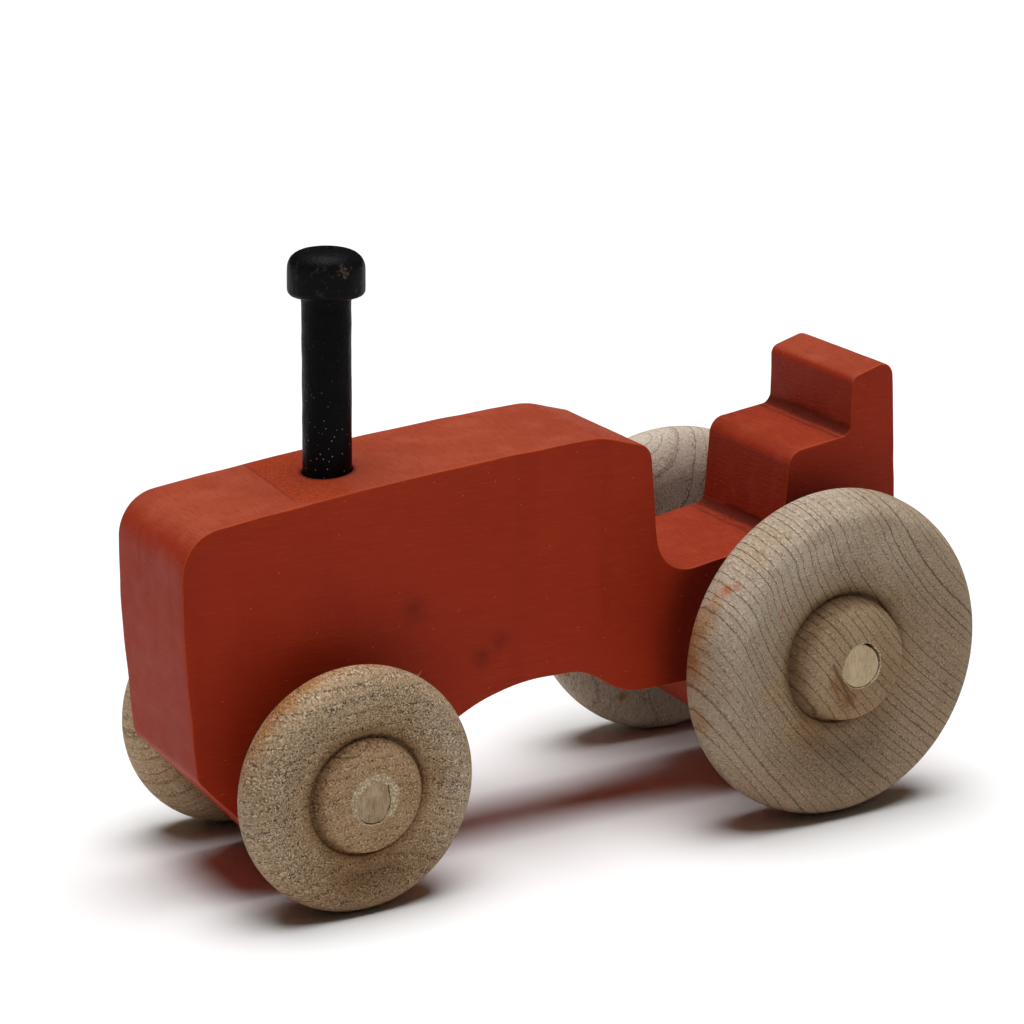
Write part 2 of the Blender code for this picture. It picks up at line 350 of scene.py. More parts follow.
def red_paint():
    """Thin satin paint, brushed along the board's sides and sanded on its sawn edge."""
    g = Graph("red_paint", 0.5, 0.07)
    x, y, z = g.parts(g.place)
    lengthwise, crosswise, up = g.parts(g.normal)
    across = g.math("ABSOLUTE", crosswise)
    side = g.step(across, *SIDE_FACING)
    edge = g.math("SUBTRACT", 1.0, side)
    end = g.times(g.step(g.math("ABSOLUTE", lengthwise), *END_FACING), edge)
    level = g.times(g.step(up, *UP_FACING), edge)
    corner = g.times(g.step(across, *CORNER_FACING[0]), g.step(across, *CORNER_FACING[1]))
    faces = {"all": 1.0, "side": side, "end": end, "level": level}
    cab = g.times(
        g.step(x, CAB_FRONT, CAB_FRONT - CAB_FADE), g.step(z, CAB_TOP, CAB_TOP - CAB_FADE)
    )

    colour = g.colour(end, RED_SIDE, RED_END)
    # Level faces take the paler paint, which is partly a painted sheen.
    colour = g.colour(level, colour, RED_LEVEL_AND_SHEEN)
    colour = layered(g, colour, UNDER_LAYERS, faces)
    # Painted shade over the level faces of the seat and footwell, in the recess behind the hood.
    colour = g.laid(colour, CAB_SHADE, 1.0, cab, level, blend="MULTIPLY")
    colour = layered(g, colour, UPPER_LAYERS, faces)

    axle = REAR_AXLE.centre
    sawn = g.joined(x, 0.0, g.plus(z, g.times(y, SAW_LEAN)))
    away = [g.distance(sawn, (axle.x + forward, 0.0, height)) for forward, height in CREASES]
    from_crease = g.math("MINIMUM", *away)
    near_crease = g.step(from_crease, CREASE_REACH * 1.5, CREASE_REACH * 0.3)
    pits = g.times(g.step(g.noise(g.place, Grain((2700, 620, 2700), 2, 0.7)), 0.6, 0.7), level)
    pits = g.times(pits, g.between(0.1, 0.9, near_crease))
    pits = g.times(pits, g.between(0.35, 1.0, cab))
    colour = g.colour(pits, colour, SMUDGE_AND_SHADE)
    # worn is the wobbly distance from the nearest inner corner; it places both the painted shade and
    # the worn line.
    worn = g.plus(from_crease, g.waver(g.place, Grain((400, 90, 400)), CREASE_WOBBLE))
    # Painted shade along the inner corners of the seat and the footwell.
    colour = g.laid(colour, SMUDGE_AND_SHADE, 0.8, g.step(worn, *CREASE_SHADE), edge)
    scored = g.times(g.step(worn, *CREASE_SCORE[0]), g.step(worn, *CREASE_SCORE[1]))
    colour = g.laid(colour, SMUDGE_AND_SHADE, 0.45, scored, level)

    colour, rough = fresh_paint(g, colour, x, y, level)
    flat = g.joined(x, z, 0.0)
    colour = g.laid(colour, SMUDGE_AND_SHADE, 0.45, smudges(g, flat, side, y))
    from_axle = g.distance(flat, (axle.x, axle.z, 0.0))
    # Painted shade on the board's sides within the rear wheels' reach, where the wheels keep the
    # light off.
    wheel_shade = g.times(g.step(from_axle, WHEEL_SHADE_RADIUS, WHEEL_SHADE_RADIUS - WHEEL_SHADE_FADE), side)
    colour = g.laid(colour, WHEEL_SHADE, 0.85, wheel_shade, blend="MULTIPLY")
    colour = g.laid(colour, RED_ORANGE, 0.38, corner)
    end_specks = g.times(g.dots(g.joined(y, z, 0.0), END_SPECKS), end)
    specks = g.either(g.times(g.dots(flat, SIDE_SPECKS), side), end_specks)
    colour = g.laid(colour, SPECK, 0.35, specks)
    colour = g.laid(colour, SMUDGE_AND_SHADE, 0.55, g.dots(flat, SIDE_HOLES), side)

    relief = g.plus(
        g.times(g.noise(g.place, FINE_STREAKS), side),
        g.times(g.noise(g.place, SANDING), g.times(edge, 1.3)),
    )
    relief = g.plus(relief, g.times(g.noise(g.place, GRIT), 0.9))
    relief = g.plus(relief, g.times(rough, 1.2))
    relief = g.plus(relief, g.times(pits, -2.0))
    roughness = g.plus(0.42, g.times(g.noise(g.place, Grain(300, 3)), 0.22))
    return g.finish(colour, g.bump(relief, 0.00008, 0.8), roughness)


# ------------ the black paint

BLACK = (0.003, 0.0027, 0.0034)
HEAD_BLACK = (0.009, 0.0084, 0.0094)
# Painted shade in the dimple at the top of the head
DIMPLE_SHADE = (0.0008, 0.0008, 0.0008)
RUBBED = (0.05, 0.036, 0.027)
PALE_SPECK = (0.45, 0.44, 0.42)
SCUFF = (0.15, 0.125, 0.095)
SCUFF_PLACE = (0.0003, 0.00775, -0.003)         # on the head, from the middle of the CAD's top
SCUFF_RADIUS, SCUFF_WOBBLE = 0.0016, 0.0035
DIMPLE_RADIUS = 0.0008
HEAD_FOOT = (-0.0095, -0.008)                   # heights, from the CAD's top
SPECKLED = (-0.02, -0.038)
STACK_SPECKS = Dots(0.001, 0.00014, 0.85, "3D")


def black_paint():
    """Black paint over the peg, bumpy, rubbed brown on the head, with pale specks low down."""
    g = Graph("black_paint", 0.42, 0.05)
    place = g.vector("SUBTRACT", g.place, (STACK_X, 0.0, STACK.high.z))
    height = g.parts(place)[2]
    head = g.step(height, *HEAD_FOOT)
    colour = g.laid(BLACK, HEAD_BLACK, 0.4, head)
    colour = g.laid(colour, RUBBED, 0.65, g.step(g.noise(place, Grain(420, 4, 0.7)), 0.56, 0.7), head)
    away = g.plus(g.distance(place, SCUFF_PLACE), g.waver(place, Grain(1500, 3, 0.7), SCUFF_WOBBLE))
    colour = g.laid(colour, SCUFF, 0.55, g.step(away, SCUFF_RADIUS, SCUFF_RADIUS * 0.4), head)
    off_axis = g.length(g.vector("MULTIPLY", place, (1.0, 1.0, 0.0)))
    # Painted shade in the dimple at the top of the head.
    dimple = g.step(off_axis, DIMPLE_RADIUS * 1.3, DIMPLE_RADIUS)
    colour = g.laid(colour, DIMPLE_SHADE, 1.0, dimple, head)
    shown = g.between(0.06, 0.76, g.step(height, *SPECKLED))
    colour = g.laid(colour, PALE_SPECK, shown, g.dots(place, STACK_SPECKS))
    grit = g.noise(place, Grain(3200, 2, 0.6))
    relief = g.plus(g.noise(place, Grain(900, 3, 0.6)), g.times(grit, 0.35))
    relief = g.plus(relief, g.times(g.noise(place, Grain((1500, 1500, 160))), 0.5))
    roughness = g.plus(0.3, g.times(g.noise(place, Grain(600)), 0.25))
    return g.finish(colour, g.bump(relief, 0.00016, 0.9), roughness)


# ------------ the wood

# How a wheel was cut from its wood. The pith is a line through an offset from the wheel's centre,
# along a direction; the growth rings lie around it. Fuzz is torn end grain, strongest on one side.
Cut = namedtuple(
    "Cut", "pith_offset pith_direction spacing wander line light mid dark tint fuzz shades seed"
)
Fuzz = namedtuple("Fuzz", "everywhere torn inner outer towards")
# Painted light and shade across a wheel, lighter where light falls, darker where shaded: a direction,
# where along it this starts and is full
Shade = namedtuple("Shade", "towards start full colour")

SHIVER_SHARE, WIDTH_SHARE = 0.22, 2.4            # of the rings' spacing
LINE_RISE, LINE_FALL = (0.78, 0.94), (1.0, 0.965)        # the dark line ends each ring
SHADE_WAVER, SHADE_WOBBLE = Grain(60), 0.008
GROOVE_WAVER, GROOVE_WOBBLE = Grain(300), 0.0012

FUZZ_LIGHT = (0.62, 0.5, 0.37)
FUZZ_DARK = (0.11, 0.061, 0.029)
HANDLED = (0.97, 0.87, 0.74)
HANDLED_REACH = 0.009
# Painted shade in the groove around the hub: its colour, its middle, and from and to across it
GROOVE_SHADE = (0.5, 0.4, 0.3)
GROOVE_MIDDLE = 0.0006
GROOVE_SHADE_REACH = (0.0024, 0.0002)
SCRATCH = (0.12, 0.062, 0.028)


def growth_rings(g, local, seeded, cut):
    """The phase in each ring, from 0 to 1 outwards, and its dark line, here and there broken."""
    along = Vector(cut.pith_direction).normalized()
    from_pith = g.vector("SUBTRACT", local, cut.pith_offset)
    lengthwise = g.scaled(tuple(along), g.dot(from_pith, tuple(along)))
    depth = g.length(g.vector("SUBTRACT", from_pith, lengthwise))
    depth = g.plus(depth, g.waver(seeded, Grain(55), cut.wander))
    depth = g.plus(depth, g.waver(seeded, Grain(600, 2, 0.6), cut.spacing * SHIVER_SHARE))
    uneven = g.waver(g.joined(depth, cut.seed, 0.0), Grain(230), cut.spacing * WIDTH_SHARE)
    rings = g.math("DIVIDE", g.plus(depth, uneven), cut.spacing)
    phase = g.math("FRACT", rings)
    line = g.times(g.step(phase, *LINE_RISE), g.step(phase, *LINE_FALL))
    number = g.plus(g.math("FLOOR", rings), cut.seed * 1000)
    strength = g.add("ShaderNodeTexWhiteNoise", {"W": number}, noise_dimensions="1D")
    line = g.times(line, g.between(0.45, 1.0, strength))
    whole = g.step(g.noise(seeded, Grain(900, 2, 0.6)), 0.3, 0.48)
    return phase, g.times(line, g.between(0.55, 1.0, whole))


def fuzziness(g, flat, off_centre, phase, fuzz):
    """How much the end grain is torn up: more on one side of the wheel and late in each ring."""
    torn = g.times(
        g.step(off_centre, fuzz.inner, fuzz.inner + 0.003),
        g.step(off_centre, fuzz.outer + 0.002, fuzz.outer - 0.002),
    )
    facing = g.step(g.dot(flat, fuzz.towards), -0.01, 0.008)
    torn = g.times(torn, g.between(0.3, 1.0, facing))
    late = g.between(0.55, 1.2, g.step(phase, 0.25, 0.85))
    return g.times(g.plus(fuzz.everywhere, g.times(torn, fuzz.torn)), late)


def maple(name, centre, cut, boss_foot, stains, scratches):
    """Bare sanded maple with dark growth lines, torn end grain, and stains and scratches in place.

    boss_foot is the radius of the groove turned around the hub. The painted shade in that groove
    and the scratches are on the face towards the toy's left, the outer one of a left wheel only.
    """
    g = Graph(name, 0.62, 0.12)
    local = g.vector("SUBTRACT", g.place, tuple(centre))
    x, y, z = g.parts(local)
    flat = g.joined(x, 0.0, z)
    off_centre = g.length(flat)
    left_face = g.step(y, 0.0, 0.002)
    seeded = g.vector("ADD", local, (cut.seed, 2 * cut.seed, 3 * cut.seed))
    phase, line = growth_rings(g, local, seeded, cut)

    along = Vector(cut.pith_direction).normalized()
    to_grain = Vector((0, 0, 1)).rotation_difference(along).inverted().to_matrix()
    grain = g.joined(*[g.dot(seeded, tuple(row)) for row in to_grain])
    flecks = g.noise(grain, Grain((2600, 2600, 420), 2, 0.6))
    strands = g.noise(grain, Grain((1700, 1700, 120), 3, 0.65))
    fuzz = g.noise(grain, Grain((3300, 3300, 1300), 1, 0.6, 0.9))
    amount = fuzziness(g, flat, off_centre, phase, cut.fuzz)

    colour = g.colour(g.step(g.noise(seeded, Grain(90, 3, 0.55)), 0.3, 0.7), cut.mid, cut.light)
    colour = g.laid(colour, cut.dark, 0.4, g.step(strands, 0.5, 0.74))
    colour = g.laid(colour, cut.dark, 0.35, g.step(flecks, 0.52, 0.72))
    colour = g.laid(colour, FUZZ_DARK, amount, g.step(fuzz, 0.49, 0.66))
    colour = g.laid(colour, FUZZ_LIGHT, amount, g.step(fuzz, 0.49, 0.33))
    colour = g.laid(colour, cut.tint, cut.line, line)
    for stain_place, radius, stain_colour, stain_share in stains:
        uneven = g.waver(seeded, Grain(260, 3, 0.6), radius * 0.9)
        ragged = g.plus(g.distance(local, stain_place), uneven)
        patch = g.times(g.step(ragged, radius, radius * 0.2), g.between(0.62, 1.32, flecks))
        colour = g.laid(colour, stain_colour, stain_share, patch, blend="MULTIPLY")
    # Painted light and shade across the wheel.
    for shade in cut.shades:
        along_shade = g.plus(g.dot(flat, shade.towards), g.waver(seeded, SHADE_WAVER, SHADE_WOBBLE))
        here = g.step(along_shade, shade.start, shade.full)
        colour = g.colour(here, colour, shade.colour, blend="MULTIPLY")
    near_hub = g.step(off_centre, boss_foot + HANDLED_REACH, boss_foot)
    colour = g.laid(colour, HANDLED, 0.8, near_hub, left_face, blend="MULTIPLY")
    # Painted shade in the groove turned around the hub.
    from_groove = g.math("ABSOLUTE", g.plus(off_centre, -(boss_foot + GROOVE_MIDDLE)))
    from_groove = g.plus(from_groove, g.waver(seeded, GROOVE_WAVER, GROOVE_WOBBLE))
    in_groove = g.step(from_groove, *GROOVE_SHADE_REACH)
    colour = g.laid(colour, GROOVE_SHADE, 0.75, in_groove, left_face, blend="MULTIPLY")

    relief = g.times(fuzz, g.plus(0.5, g.times(amount, 2.0)))
    relief = g.plus(relief, g.times(strands, 0.6))
    relief = g.plus(relief, g.times(line, -0.8))
    scored = None
    for start, end, width, share in scratches:
        ragged = g.vector("ADD", flat, g.waver(seeded, Grain(700), width * 2))
        mark = g.near_segment(ragged, (start[0], 0, start[1]), (end[0], 0, end[1]), width)
        mark = g.times(g.times(mark, share), left_face)
        scored = mark if scored is None else g.either(scored, mark)
    if scored is not None:
        colour = g.colour(scored, colour, SCRATCH)
        relief = g.plus(relief, g.times(scored, -1.5))
    return g.finish(colour, g.bump(relief, 0.00009, 0.8), g.plus(0.55, g.times(fuzz, 0.2)))


PALE_DOWEL = ((0.6, 0.46, 0.29), (0.5, 0.375, 0.23), (0.33, 0.235, 0.14))
BROWN_DOWEL = ((0.48, 0.35, 0.225), (0.38, 0.265, 0.162), (0.17, 0.102, 0.056))


def dowel_wood(name, centre, pale, mid, dark):
    """End grain of a birch dowel: fine pores and a few soft rays."""
    g = Graph(name, 0.7, 0.12)
    local = g.vector("SUBTRACT", g.place, tuple(centre))
    pores = g.noise(local, Grain((3000, 300, 3000), 2, 0.6))
    rays = g.noise(local, Grain((2600, 300, 420), 2, 0.6))
    colour = g.colour(g.step(g.noise(local, Grain(380, 3)), 0.35, 0.65), mid, pale)
    colour = g.laid(colour, dark, 0.55, g.step(pores, 0.52, 0.72))
    colour = g.laid(colour, dark, 0.55, g.step(rays, 0.48, 0.68))
    return g.finish(colour, g.bump(g.plus(pores, rays), 0.0001, 0.9))


GLUE_PALE = (0.66, 0.55, 0.36)
GLUE_DARK = (0.33, 0.235, 0.14)
SPLINTER = (0.5, 0.38, 0.24)


def glue(name, pale, dark):
    """Dried glue in pale and dark lumps."""
    g = Graph(name, 0.55, 0.15)
    lumps = g.noise(g.place, Grain((2600, 2600, 2600), 3, 0.75))
    colour = g.colour(g.step(lumps, 0.47, 0.6), dark, pale)
    return g.finish(colour, g.bump(lumps, 0.00007, 0.8))


# ------------ mesh tools

SHARP_ANGLE = radians(42)


def placed(name, solid):
    """An object in the scene made of a bmesh, which is used up."""
    mesh = bpy.data.meshes.new(name)
    solid.to_mesh(mesh)
    solid.free()
    made = bpy.data.objects.new(name, mesh)
    bpy.context.scene.collection.objects.link(made)
    return made


def piece(name, solid, body, cad_node, material):
    """Make the object of a bmesh in place, on its body, standing for its CAD node."""
    bmesh.ops.recalc_face_normals(solid, faces=solid.faces)
    made = placed(name, solid)
    made.data.shade_smooth()
    made.data.set_sharp_from_angle(angle=SHARP_ANGLE)
    made.data.materials.append(material)
    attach(made, body)
    if cad_node:
        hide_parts(cad_node)
    return made


def ripple(x, y, z, waves):
    """A sum of noises at a point. Each wave is its scale along x, y and z, and its height."""
    return sum(
        noise.noise(Vector((x * along_x, y * along_y, z * along_z))) * height
        for (along_x, along_y, along_z), height in waves
    )


def arc(centre, radii, start, end, steps):
    angles = [radians(start + (end - start) * i / steps) for i in range(steps + 1)]
    return [(centre[0] + radii[0] * cos(a), centre[1] + radii[1] * sin(a)) for a in angles]


def rounded(corners, arc_step):
    """Points of a closed outline with each corner (u, v, radius) rounded."""
    points = []
    for i, (u, v, radius) in enumerate(corners):
        before, after = corners[i - 1], corners[(i + 1) % len(corners)]
        points += round_corner(before, (u, v), after, radius, arc_step)
    return points


def round_corner(before, corner, after, radius, arc_step):
    """Points of the arc that joins the two straight sides of a corner."""
    start_angle = atan2(before[1] - corner[1], before[0] - corner[0])
    end_angle = atan2(after[1] - corner[1], after[0] - corner[0])
    between = acos(cos(end_angle - start_angle))
    tangent = radius / tan(between / 2)
    start = (corner[0] + tangent * cos(start_angle), corner[1] + tangent * sin(start_angle))
    side = 1 if sin(end_angle - start_angle) > 0 else -1
    reach = side * radius
    centre = (start[0] - reach * sin(start_angle), start[1] + reach * cos(start_angle))
    turn = pi - between
    steps = max(2, round(turn / arc_step), round(turn * radius / LONGEST_STEP))
    first = atan2(start[1] - centre[1], start[0] - centre[0])
    angles = [first - side * turn * i / steps for i in range(steps + 1)]
    return [(centre[0] + radius * cos(a), centre[1] + radius * sin(a)) for a in angles]


def filled_in(points):
    """The same closed outline with extra points on its long straight sides."""
    dense = []
    for i, (u, v) in enumerate(points):
        following = points[(i + 1) % len(points)]
        along_u, along_v = following[0] - u, following[1] - v
        parts = max(1, round((along_u ** 2 + along_v ** 2) ** 0.5 / LONGEST_STEP))
        dense += [(u + along_u * k / parts, v + along_v * k / parts) for k in range(parts)]
    return dense


def outward(points):
    """Unit normals of a closed outline, pointing out of it."""
    ahead, behind = points[1:] + points[:1], points[-1:] + points[:-1]
    clockwise = sum(a[0] * b[1] - b[0] * a[1] for a, b in zip(points, ahead)) < 0
    normals = []
    for before, after in zip(behind, ahead):
        across = Vector((before[1] - after[1], after[0] - before[0])).normalized()
        normals.append(across if clockwise else -across)
    return normals


def skin(solid, rows):
    """Quads between closed rows of vertices."""
    for row, following in zip(rows, rows[1:]):
        for i in range(len(row)):
            j = (i + 1) % len(row)
            solid.faces.new((row[i], row[j], following[j], following[i]))


def capped_skin(solid, rows):
    """A closed skin over rows of vertices, with a face across each end."""
    skin(solid, rows)
    solid.faces.new(rows[0])
    solid.faces.new(rows[-1][::-1])


def turned(profile, sides, place):
    """A turned skin over (radius, height) points. place puts a (radius, angle, height)."""
    solid = bmesh.new()
    angles = [2 * pi * k / sides for k in range(sides)]
    rows = []
    for radius, height in profile:
        spots = [place(radius, angle, height) for angle in (angles if radius else [0])]
        rows.append([solid.verts.new(spot) for spot in spots])
    for row, following in zip(rows, rows[1:]):
        if len(row) == 1 or len(following) == 1:
            tip, ring = (row[0], following) if len(row) == 1 else (following[0], row)
            for k in range(sides):
                solid.faces.new((tip, ring[k], ring[(k + 1) % sides]))
        else:
            skin(solid, [row, following])
    return solid, rows


# ------------ the board

# The board's corners, clockwise from the toe: forward of the rear axle and above the ground, and
# the radius of the rounding, in mm. They are the CAD outline's, drawn here with finer arcs.
BOARD_CORNERS = (
    (105.2, 2.6, 1.5), (93.6, 2.6, 1.2), (84.6, 32.25, 40.0), (46.2, 32.2, 13.6),
    (37.8, 26.1, 13.6), (19.5, 26.1, 1.8), (14.5, 10.8, 17.0), (-8.7, 10.8, 20.0),
    (-27.0, 29.1, 4.0), (-23.1, 84.1, 2.8), (-13.5, 81.2, 2.0), (-13.6, 70.0, 2.2),
    (0.8, 68.2, 3.5), (1.95, 51.5, 2.0), (30.0, 47.5, 7.5), (32.6, 73.4, 3.8),
    (43.8, 76.5, 14.0), (84.3, 74.6, 880.0), (127.9, 69.0, 8.0), (127.75, 49.0, 120.0),
    (125.8, 25.0, 3.5),
)
LONGEST_STEP = 0.0013
BOARD_ARC_STEP = radians(4)
SAW_LEAN = 0.036                 # the saw cut leans: its right edge is higher than its left one
EDGE_SOFTNESS = 0.00032
SOFTNESS_WAVES = (((180, 1, 180), 0.7),)
SOFTNESS_SEED = 7.0
BOARD_WAVES = (((90, 60, 90), 0.00005), ((420, 300, 420), 0.000025))
FACE_INSET = 0.0004              # from the soft edge in to each side's flat face
EDGE_STEPS = 4
BAND_STEPS = 20
HOLE_SIDES = 64
AXLE_PLAY = 0.0004
STACK_HOLE_PLAY = 0.00025


def board_outline():
    axle_x = REAR_AXLE.centre.x
    corners = [(axle_x + x * MM, z * MM, radius * MM) for x, z, radius in BOARD_CORNERS]
    return filled_in(rounded(corners, BOARD_ARC_STEP))


def board_blank():
    """The board without its holes: rows of points around it from its left side to its right."""
    outline = board_outline()
    normals = outward(outline)
    softness = [
        EDGE_SOFTNESS * (1 + ripple(x, SOFTNESS_SEED, z, SOFTNESS_WAVES)) for x, z in outline
    ]
    face_insets = [soft + FACE_INSET for soft in softness]
    solid = bmesh.new()
    rows = []

    def add_row(ys, insets):
        row = []
        for (x, z), normal, y, inset in zip(outline, normals, ys, insets):
            shift = ripple(x, y, z, BOARD_WAVES) - inset
            u, v = x + normal.x * shift, z + normal.y * shift
            row.append(solid.verts.new((u, y, v - SAW_LEAN * y)))
        rows.append(row)

    def add_flat_row(y, insets):
        add_row([y] * len(outline), insets)

    def add_rim(side, order):
        for step in order:
            angle = radians(90.0 * step / EDGE_STEPS)
            add_row(
                [side * (HALF_BOARD - soft * (1 - sin(angle))) for soft in softness],
                [soft * (1 - cos(angle)) for soft in softness],
            )

    add_flat_row(HALF_BOARD, face_insets)
    add_rim(1, range(EDGE_STEPS, -1, -1))
    reach = HALF_BOARD - EDGE_SOFTNESS * 3
    for k in range(BAND_STEPS + 1):
        add_flat_row(reach * (1 - 2 * k / BAND_STEPS), [0.0] * len(outline))
    add_rim(-1, range(EDGE_STEPS + 1))
    add_flat_row(-HALF_BOARD, face_insets)
    capped_skin(solid, rows)
    bmesh.ops.recalc_face_normals(solid, faces=solid.faces)
    return placed("board_blank", solid)


def drill(centre, radius, length, turn):
    solid = bmesh.new()
    bmesh.ops.create_cone(
        solid, cap_ends=True, segments=HOLE_SIDES, radius1=radius, radius2=radius, depth=length
    )
    made = placed("drill", solid)
    made.rotation_euler = turn
    made.location = centre
    return made


def board():
    blank = board_blank()
    drills = []
    for axle in (FRONT_AXLE, REAR_AXLE):
        middle = Vector((axle.centre.x, 0, axle.centre.z))
        drills.append(drill(middle, AXLE_RADIUS + AXLE_PLAY, HALF_BOARD * 4, (pi / 2, 0, 0)))
    depth = STACK.size.z + STACK_HOLE_PLAY
    shank = Vector((STACK_X, 0, STACK.high.z - depth / 2))
    drills.append(drill(shank, SHANK_RADIUS + STACK_HOLE_PLAY, depth, (0, 0, 0)))
    for tool in drills:
        blank.modifiers.new("hole", "BOOLEAN").object = tool
    bpy.context.view_layer.update()
    evaluated = blank.evaluated_get(bpy.context.evaluated_depsgraph_get())
    cut = bpy.data.meshes.new_from_object(evaluated)
    for item in [blank, *drills]:
        bpy.data.objects.remove(item)
    solid = bmesh.new()
    solid.from_mesh(cut)
    return piece("tractor_body", solid, "chassis", "body", red_paint())


# ------------ the smokestack

SHANK_RADIUS = 0.0044
HEAD_HEIGHT = 0.0086
HEAD_DROP = 0.00023              # the worn top lies this far under the CAD peg's
# The dimple in the top, from its middle: radius, and height from the top
DIMPLE = ((0, -0.0014), (0.0004, -0.0013), (0.0008, -0.0005), (0.0011, -0.00005))
DOME = 0.0046
CROWN_POWER = 3.0                # a superellipse: a nearly flat top with round shoulders
CROWN_START, CROWN_STEPS = 85, 20
HEAD_ROUNDING, ROUNDING_STEPS = 0.0012, 8
# The paint in the corner under the head: out from the shank, and height from the head's underside
NECK = ((0.0006, 0.0), (0.0001, -0.0004))
NECK_LENGTH = 0.0012
SHANK_STEPS = 40
TIP_CHAMFER = 0.0008
STACK_SIDES = 96
PAINT_WAVES = (((420, 420, 300), 0.00008), ((1500, 1500, 900), 0.00003))
SMOOTH_RADIUS = 0.002            # no lumps this near to the axis


def smokestack():
    """An axle peg on its shank: domed head with a dimple, thick paint with soft lumps."""
    top, bottom = STACK.high.z, STACK.low.z
    head_radius = STACK.size.x / 2
    under = top - HEAD_HEIGHT
    crown = top - HEAD_DROP
    profile = [(radius, crown + height) for radius, height in DIMPLE]
    for step in range(CROWN_STEPS + 1):
        angle = radians(CROWN_START - CROWN_START * step / CROWN_STEPS)
        across, up = cos(angle) ** (2 / CROWN_POWER), sin(angle) ** (2 / CROWN_POWER)
        profile.append((head_radius * across, crown - DOME + DOME * up))
    middle = (head_radius - HEAD_ROUNDING, under + HEAD_ROUNDING)
    profile += arc(middle, (HEAD_ROUNDING, HEAD_ROUNDING), 0, -90, ROUNDING_STEPS)
    profile += [(SHANK_RADIUS + out, under + height) for out, height in NECK]
    length = under - bottom - NECK_LENGTH - TIP_CHAMFER
    for k in range(SHANK_STEPS + 1):
        profile.append((SHANK_RADIUS, under - NECK_LENGTH - length * k / SHANK_STEPS))
    profile += [(SHANK_RADIUS - TIP_CHAMFER, bottom), (0, bottom)]

    def place(radius, angle, height):
        if radius > SMOOTH_RADIUS:
            lumps = ripple(radius * cos(angle), radius * sin(angle), height, PAINT_WAVES)
            radius = min(radius + lumps, head_radius)
        return (STACK_X + radius * cos(angle), radius * sin(angle), height)

    solid, _ = turned(profile, STACK_SIDES, place)
    return piece("smokestack_peg", solid, "chassis", "smokestack", black_paint())


# ------------ wheels and dowels

# Sizes of a wheel besides its radius and the faces of its hub. Heights are along the axle, from
# the toy's middle plane.
Wheel = namedtuple(
    "Wheel",
    "crown rim rim_height inner_rim inner_rim_height groove_height lip_height boss_foot boss_face",
)
REAR_WHEEL = Wheel(0.0266, 0.0265, 0.035, 0.0225, 0.0206, 0.03, 0.0312, 0.0121, 0.0086)
FRONT_WHEEL = Wheel(0.0244, 0.018, 0.0296, 0.015, 0.0167, 0.0272, 0.0282, 0.0104, 0.0086)
GROOVE_WIDTH = 0.0004
GROOVE_ROUNDINGS = (0.00035, 0.00045)
RIM_ROUNDINGS = (0.0016,)
BACK_ROUNDINGS = (0.0008, 0.0006)
BACK_BOSS_SLOPE = 0.0014
BOSS_START, BOSS_STEPS = 66, 14
TYRE_STEPS, INNER_STEPS = 26, 22
EASING_STEP = radians(18)
DISH_SAG = 0.0007
DISH_STEPS = 24
BORE_PLAY = 0.0003
WHEEL_SIDES = 160


def around_axle(centre, radius, angle, y):
    return (centre.x + radius * cos(angle), y, centre.z + radius * sin(angle))


def eased(points, roundings):
    """An open profile of (radius, height) points with its inner corners rounded."""
    made = [points[0]]
    for before, corner, after, rounding in zip(points, points[1:], points[2:], roundings):
        made += round_corner(before, corner, after, rounding, EASING_STEP)
    return made + [points[-1]]


def dish(start, end):
    """The hollow from the groove's lip out to the rim, a curve sagging below the chord."""
    control = ((start[0] + end[0]) / 2, (start[1] + end[1]) / 2 - 2 * DISH_SAG)
    curve = []
    for k in range(1, DISH_STEPS):
        t = k / DISH_STEPS
        near, middle, far = (1 - t) ** 2, 2 * t * (1 - t), t * t
        curve.append(tuple(near * a + middle * c + far * b for a, c, b in zip(start, control, end)))
    return curve


def wheel_profile(wheel, radius, hub_face, inner_face):
    """Half section of a wheel, from the outer end of its bore over the tyre to the inner end."""
    bore = AXLE_RADIUS + BORE_PLAY
    floor = wheel.groove_height
    boss_size = (wheel.boss_foot - wheel.boss_face, hub_face - floor)
    boss = [(wheel.boss_face, hub_face)]
    boss += arc((wheel.boss_face, floor), boss_size, BOSS_START, 0, BOSS_STEPS)
    groove = (wheel.boss_foot + GROOVE_WIDTH, floor)
    lip = (wheel.boss_foot + 2 * GROOVE_WIDTH, wheel.lip_height)
    rim = (wheel.rim, wheel.rim_height)
    hollow = dish(lip, rim)
    tyre_size = (radius - wheel.rim, wheel.rim_height - wheel.crown)
    tyre = arc((wheel.rim, wheel.crown), tyre_size, 90, 0, TYRE_STEPS)
    inner_size = (radius - wheel.inner_rim, wheel.crown - wheel.inner_rim_height)
    inner = arc((wheel.inner_rim, wheel.crown), inner_size, 0, -90, INNER_STEPS)
    back_corners = [
        inner[-1], (wheel.boss_face + BACK_BOSS_SLOPE, wheel.inner_rim_height),
        (wheel.boss_face, inner_face), (bore, inner_face),
    ]
    # The eased stretches take the place of the points nearest to the corners that they round.
    into_groove = eased([boss[-2], groove, lip, hollow[1]], GROOVE_ROUNDINGS)
    over_rim = eased([hollow[-3], rim, tyre[6]], RIM_ROUNDINGS)
    return (
        [(bore, hub_face)] + boss[:-2] + into_groove + hollow[2:-3] + over_rim + tyre[7:]
        + inner[1:-1] + eased(back_corners, BACK_ROUNDINGS)
    )


